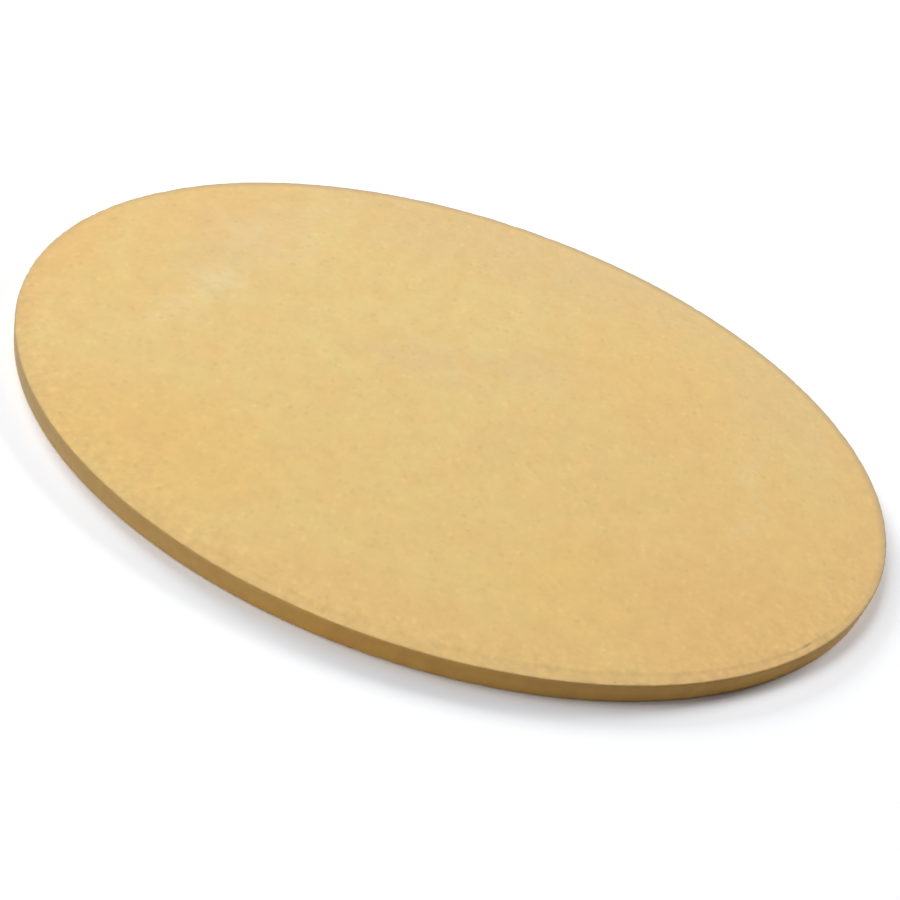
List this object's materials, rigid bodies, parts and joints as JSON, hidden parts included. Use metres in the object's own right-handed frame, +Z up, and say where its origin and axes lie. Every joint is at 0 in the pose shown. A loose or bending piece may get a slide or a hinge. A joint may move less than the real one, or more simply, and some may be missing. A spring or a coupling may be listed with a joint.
{
  "type": "pizza stone",
  "caption": "Round, flat baking stone of bare fired refractory clay with softly rounded edges; lies on an oven rack and carries dough on its top face.",
  "frame": {"origin": "centre of the underside, on the plane that the stone rests on", "axes": "+Z up through the thickness, out of the baking face; the stone is round, so X and Y are free"},
  "size_m": [0.406, 0.406, 0.0095],
  "materials": {
    "fired_refractory_clay": "unglazed, dry matt, fine sandy grain"
  },
  "bodies": {
    "root": {"baking_stone": "fired_refractory_clay"}
  },
  "joints": []
}
